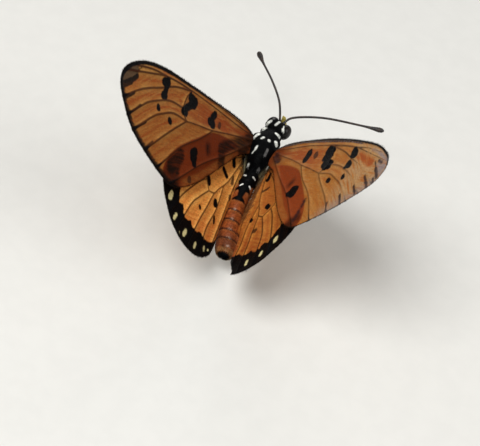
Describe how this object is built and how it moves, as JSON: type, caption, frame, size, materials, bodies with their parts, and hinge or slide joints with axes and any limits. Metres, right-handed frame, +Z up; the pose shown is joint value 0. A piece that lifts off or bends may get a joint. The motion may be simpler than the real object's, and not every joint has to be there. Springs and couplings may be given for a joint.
{
  "type": "tawny coster butterfly",
  "caption": "Still life-size model of a tawny coster butterfly standing with half-open spotted orange wings, dark wing borders, clubbed antennae and a black and russet body.",
  "frame": {"origin": "on the floor, under the middle of the model's box", "axes": "+Z up, the head faces -Y, the animal's left side is towards +X; Y is the longest way across the model, from the left antenna's tip to the hindwings, and Z the shortest"},
  "size_m": [0.0314, 0.0384, 0.029],
  "materials": {
    "cuticle": "black hairy cuticle with white scale spots",
    "abdomen": "russet scaled rings, black in front, pale ochre fringe and black tip",
    "eye": "dark glossy facets",
    "palp": "ochre scales",
    "horn": "black, faintly ringed",
    "leg": "dark brown, finely spined",
    "forewing": "tawny scales with black spots and a thin dark margin",
    "hindwing": "orange scales with black spots and a broad black border holding cream spots"
  },
  "bodies": {
    "root": {"head": "cuticle", "thorax": "cuticle", "abdomen": "abdomen", "eye_left": "eye", "eye_right": "eye", "palp_left": "palp", "palp_right": "palp", "antenna_left": "horn", "antenna_right": "horn", "proboscis": "horn", "foreleg_left": "leg", "foreleg_right": "leg", "midleg_left": "leg", "midleg_right": "leg", "hindleg_left": "leg", "hindleg_right": "leg", "forewing_left": "forewing", "forewing_right": "forewing", "hindwing_left": "hindwing", "hindwing_right": "hindwing"}
  },
  "joints": []
}
